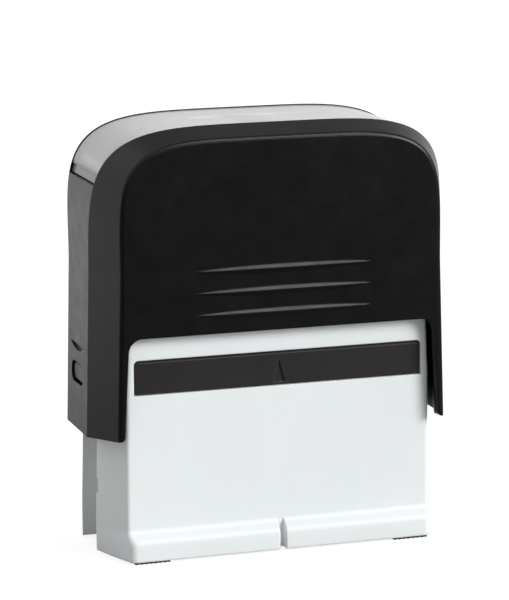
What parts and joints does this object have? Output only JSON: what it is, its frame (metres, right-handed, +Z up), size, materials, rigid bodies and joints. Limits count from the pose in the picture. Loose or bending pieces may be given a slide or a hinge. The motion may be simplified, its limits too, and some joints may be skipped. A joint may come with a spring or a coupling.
{
  "type": "self-inking stamp",
  "caption": "Hand-held self-inking text stamp: sprung cap over a white base, rotor that flips the text plate from ink pad to paper.",
  "frame": {"origin": "on the paper, under the middle of the stamp, with the cap up at rest", "axes": "+Z up, -Y out of the front panel where the ink tray pulls out, +X to the right along the text lines"},
  "size_m": [0.0778, 0.039, 0.0888],
  "materials": {
    "white_plastic": "satin moulded ABS",
    "black_plastic": "fine satin moulding texture",
    "black_tray": "satin moulding",
    "button_plastic": "satin moulding",
    "yoke_plastic": "matt acetal",
    "rotor_plastic": "matt acetal",
    "pin_plastic": "natural acetal",
    "clear_cover": "clear polystyrene",
    "card_paper": "uncoated card",
    "spring_steel": "drawn spring wire",
    "foot_rubber": "matt elastomer",
    "pad_foam": "ink-soaked foam",
    "pad_cloth": "ink-soaked woven cloth",
    "adhesive": "double-sided film",
    "cushion_foam": "closed-cell foam",
    "die_rubber": "laser-cut stamp rubber"
  },
  "bodies": {
    "base": {"base_housing": "white_plastic", "foot_pad_front_left": "foot_rubber", "foot_pad_back_left": "foot_rubber", "foot_pad_front_right": "foot_rubber", "foot_pad_back_right": "foot_rubber", "main_spring": "spring_steel"},
    "cap": {"cap_shell": "black_plastic", "axle_yoke": "yoke_plastic", "index_card": "card_paper"},
    "rotor": {"rotor_carrier": "rotor_plastic", "axle_pin_left": "pin_plastic", "axle_pin_right": "pin_plastic", "adhesive_film": "adhesive", "die_cushion": "cushion_foam", "text_plate": "die_rubber"},
    "tray": {"ink_tray": "black_tray", "ink_pad": "pad_foam", "ink_pad_cover": "pad_cloth"},
    "button_left": {"lock_button_left": "button_plastic"},
    "button_right": {"lock_button_right": "button_plastic"},
    "window": {"index_window": "clear_cover"}
  },
  "joints": [
    {"name": "cap_press", "type": "slide", "parent": "base", "child": "cap", "axis": [0, 0, 1], "range_m": [-0.0245, 0], "stiffness_N_per_m": 500, "springref_m": 0.01, "deforming": ["main_spring"]},
    {"name": "rotor_flip", "type": "hinge", "parent": "cap", "child": "rotor", "pos_m": [0, 0, 0.0297], "axis": [1, 0, 0], "range_deg": [0, 180]},
    {"name": "tray_slide", "type": "slide", "parent": "base", "child": "tray", "axis": [0, -1, 0], "range_m": [0, 0.026]},
    {"name": "lock_left_press", "type": "slide", "parent": "cap", "child": "button_left", "axis": [1, 0, 0], "range_m": [0, 0.0013]},
    {"name": "lock_right_press", "type": "slide", "parent": "cap", "child": "button_right", "axis": [-1, 0, 0], "range_m": [0, 0.0013]},
    {"name": "index_window_lift", "type": "slide", "parent": "cap", "child": "window", "axis": [0, 0, 1], "range_m": [0, 0.012]}
  ],
  "couplings": [
    {"joint": "rotor_flip", "follows": "cap_press", "rad_per_m": -128.2}
  ]
}
